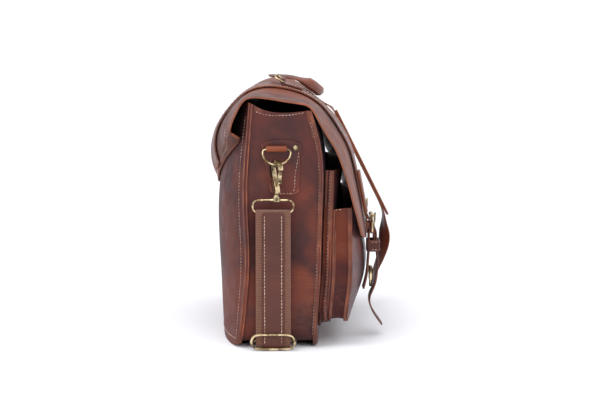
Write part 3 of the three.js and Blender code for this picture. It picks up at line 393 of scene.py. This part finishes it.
# Points at even steps along a line through a few points
def evenly(points, step):
    places = [Vector(p) for p in points]
    lengths = [0.0]
    for a, b in zip(places, places[1:]):
        lengths.append(lengths[-1] + (b - a).length)
    count = max(int(lengths[-1] / step), 1)
    found = []
    for index in range(count + 1):
        want = lengths[-1] * index / count
        k = 0
        while k < len(places) - 2 and lengths[k + 1] < want:
            k += 1
        span = max(lengths[k + 1] - lengths[k], 1e-9)
        found.append(places[k].lerp(places[k + 1], (want - lengths[k]) / span))
    return found


# Rings of one stitch from end to end: place along it, width and rise, each a share of its size
stitchRings = ((-1, 0.25, -0.6), (-0.82, 0.8, 0.1), (-0.3, 1.0, 0.55),
               (0.3, 1.0, 0.55), (0.82, 0.8, 0.1), (1, 0.25, -0.6))
stitchSet = {"sides": 6, "reach": 0.12, "gap": 2.2, "skew": 0.00015, "slant": 0.0002}


# One thread between two hits on the leather, raised at the hit between them
def addStitch(work, first, centre, last, way, thread):
    along = last[0] - first[0]
    normal = centre[1] if centre[1].dot(way) < 0 else -centre[1]
    along.normalize()
    side = along.cross(normal).normalized()
    out = side.cross(along).normalized()
    long = thread["length"] / 2
    sides = stitchSet["sides"]
    lean = side * (random.uniform(-stitchSet["skew"], stitchSet["skew"]) + stitchSet["slant"])
    rings = []
    for t, size, rise in stitchRings:
        hub = centre[0] + along * (t * long) + out * (rise * thread["radius"]) + lean * t
        ring = []
        for corner in range(sides):
            angle = corner * 2 * math.pi / sides
            offset = side * math.cos(angle) + out * math.sin(angle)
            ring.append(work.verts.new(hub + offset * (size * thread["radius"])))
        rings.append(ring)
    for a, b in zip(rings, rings[1:]):
        for corner in range(sides):
            after = (corner + 1) % sides
            work.faces.new((a[corner], a[after], b[after], b[corner]))
    work.faces.new(list(reversed(rings[0])))
    work.faces.new(rings[-1])


# Short sewn threads cast onto the leather in one direction
def sew(name, runs, thread):
    work = bmesh.new()
    missed = 0
    for run in runs:
        tree = treeOf(run["on"])
        way = Vector(run["way"]).normalized()
        hits = []
        for place in evenly(run["line"], thread["pitch"] / 2):
            hit = tree.ray_cast(place, way, run.get("reach", stitchSet["reach"]))
            hits.append((hit[0], hit[1]) if hit[0] is not None else None)
        for first, centre, last in zip(hits[0::2], hits[1::2], hits[2::2]):
            found = first and centre and last
            if found and (first[0] - last[0]).length <= thread["pitch"] * stitchSet["gap"]:
                addStitch(work, first, centre, last, way, thread)
            else:
                missed += 1
    bmesh.ops.recalc_face_normals(work, faces=work.faces)
    mesh = bpy.data.meshes.new(name)
    work.to_mesh(mesh)
    work.free()
    for face in mesh.polygons:
        face.use_smooth = True
    mesh.materials.append(threadCotton)
    obj = bpy.data.objects.new(name, mesh)
    bpy.context.scene.collection.objects.link(obj)
    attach(obj, "bag")
    print(name, "faces", len(mesh.polygons), "missed", missed)


def bothEnds(line, way, on, **facts):
    far = [node.replace("_near", "_far") for node in on]
    return [dict(line=line, way=way, on=on, **facts),
            dict(line=mirrored(line), way=(-way[0], way[1], way[2]), on=far, **facts)]


# Rays start outside the bag: past its near end, behind it, in front of it and above it
endX, backY, frontY, aboveZ = -0.30, 0.13, -0.12, 0.345

backSeam = [(-0.2575, backY, 0.010), (-0.2575, backY, 0.270)]
backFoot = [(-0.2570, backY, 0.0095), (0.1254, backY, 0.0095)]
frontSeam = [(-0.2695, 0.026, 0.008), (-0.2695, 0.026, 0.265)]
gussetTop = [(endX, 0.055, 0.2745), (endX, 0.044, 0.2712), (endX, 0.0333, 0.2700),
             (endX, 0.0138, 0.2707), (endX, -0.0035, 0.2738)]
patchMiddle = 0.0253
patchRight = [(endX, 0.0049, 0.2285), (endX, 0.0057, 0.221), (endX, 0.0092, 0.2015),
              (endX, 0.0097, 0.1855), (endX, 0.0122, 0.1805)]
patchLeft = [(x, 2 * patchMiddle - y, z) for x, y, z in patchRight]
patchFoot = [patchRight[-1], patchLeft[-1]]
runs = bothEnds(backSeam, (0, -1, 0), ["back_panel"])
runs += [{"line": backFoot, "way": (0, -1, 0), "on": ["back_panel"]}]
runs += bothEnds(frontSeam, (0, -1, 0), ["gusset"], reach=0.06)
runs += bothEnds(gussetTop, (1, 0, 0), ["gusset"])
for line in (patchRight, patchLeft, patchFoot):
    runs += bothEnds(line, (1, 0, 0), ["ring_patch_near"])
thread = {"pitch": 0.0038, "length": 0.0027, "radius": 0.00034}
sew("body_stitches", runs, thread)

bandMiddle, bandSeam = 0.03427, 0.0098
bandRuns = []
for y in (bandMiddle - bandSeam, bandMiddle + bandSeam):
    bandRuns += bothEnds([(endX, y, 0.008), (endX, y, 0.158)], (1, 0, 0), ["strap_band"], reach=0.05)
bandThread = {"pitch": 0.0040, "length": 0.0034, "radius": 0.00044}
sew("band_stitches", bandRuns, bandThread)

slipSide = [(-0.2650, -0.0125, 0.034), (-0.2650, -0.0125, 0.205)]
pocketSide = [(-0.2645, -0.030, 0.034), (-0.2645, -0.030, 0.160)]
pocketEnd = [(endX, -0.0365, 0.161), (endX, -0.0475, 0.1615)]
pocketTop = [(-0.250, frontY, 0.1595), (0.118, frontY, 0.1595)]
pocketRuns = bothEnds(slipSide, (0, -1, 0), ["slip_gusset"])
pocketRuns += bothEnds(pocketSide, (0, -1, 0), ["pocket_gusset"])
pocketRuns += bothEnds(pocketEnd, (1, 0, 0), ["pocket_gusset"])
pocketRuns += [{"line": pocketTop, "way": (0, 1, 0), "on": ["pocket_front"]}]
sew("pocket_stitches", pocketRuns, thread)

trimRuns = []
for x in (-0.1824, -0.1600):
    trimRuns += bothEnds([(x, 0.10, aboveZ), (x, -0.055, aboveZ)], (0, 0, -1), ["belt_near"], reach=0.2)
for z in (0.1055, 0.1147):
    trimRuns += bothEnds([(-0.1846, -0.115, z), (-0.1570, -0.115, z)], (0, 1, 0), ["keeper_near"])
    trimRuns += bothEnds([(-0.20, -0.0905, z), (-0.20, -0.0805, z)], (1, 0, 0), ["keeper_near"])
tabLeft, tabRight, tabAbove = -0.1770, -0.1669, 0.335
for x in (tabLeft, tabRight):
    trimRuns += bothEnds([(x, 0.003, tabAbove), (x, 0.024, tabAbove)], (0, 0, -1), ["handle_tab_near"])
for y in (0.0025, 0.019):
    trimRuns += bothEnds([(tabLeft, y, tabAbove), (tabRight, y, tabAbove)], (0, 0, -1), ["handle_tab_near"])
# Flap's sewn end on the back, and a box at each of its corners
seamSet = {"steps": 25, "half": 0.1828, "ends": 0.2428, "dip": 0.060, "power": 1.6, "behind": 0.14}
flapSeam = []
for index in range(1 - seamSet["steps"], seamSet["steps"]):
    q = index / seamSet["steps"]
    z = seamSet["ends"] - seamSet["dip"] * (1 - abs(q) ** seamSet["power"])
    flapSeam.append((middle + q * seamSet["half"], seamSet["behind"], z))
trimRuns += [{"line": flapSeam, "way": (0, -1, 0), "on": ["flap"]}]
cornerBox = [(x, seamSet["behind"], z)
             for x, z in ((-0.2490, 0.2440), (-0.2490, 0.2530), (-0.2400, 0.2530), (-0.2400, 0.2440))]
trimRuns += bothEnds(cornerBox, (0, -1, 0), ["flap"])
trimThread = {"pitch": 0.0036, "length": 0.0026, "radius": 0.00032}
sew("trim_stitches", trimRuns, trimThread)
print("stitches sewn")

# White studio floor and soft light
floorSet = {"size": 14, "z": -0.0002, "colour": (0.93, 0.94, 0.97, 1), "rough": 0.9}
bpy.ops.mesh.primitive_plane_add(size=floorSet["size"], location=(0, 0, floorSet["z"]))
floor = bpy.context.object
floor.name = "floor"
white = bpy.data.materials.new("white")
white.use_nodes = True
whiteShader = white.node_tree.nodes["Principled BSDF"]
whiteShader.inputs["Base Color"].default_value = floorSet["colour"]
whiteShader.inputs["Roughness"].default_value = floorSet["rough"]
floor.data.materials.append(white)

skySet = {"colour": (0.97, 0.98, 1.0, 1), "strength": 1.2}
world = bpy.data.worlds.new("studio")
world.use_nodes = True
sky = world.node_tree.nodes["Background"]
sky.inputs["Color"].default_value = skySet["colour"]
sky.inputs["Strength"].default_value = skySet["strength"]
bpy.context.scene.world = world
lamps = [
    {"name": "top", "place": (-0.8, 0.35, 1.5), "aim": (0, 0, 0.2), "size": 0.8, "power": 7},
    {"name": "front", "place": (-1.6, -0.5, 0.9), "aim": (-0.2, 0, 0.15), "size": 0.7, "power": 5},
]
for lamp in lamps:
    light = bpy.data.lights.new(lamp["name"], "AREA")
    light.energy = lamp["power"]
    light.size = lamp["size"]
    holder = bpy.data.objects.new(lamp["name"], light)
    holder.location = lamp["place"]
    gaze = Vector(lamp["aim"]) - Vector(lamp["place"])
    holder.rotation_euler = gaze.to_track_quat("-Z", "Y").to_euler()
    bpy.context.scene.collection.objects.link(holder)
bpy.context.scene.view_settings.view_transform = "Standard"
bpy.context.scene.view_settings.look = "None"

print("ready")
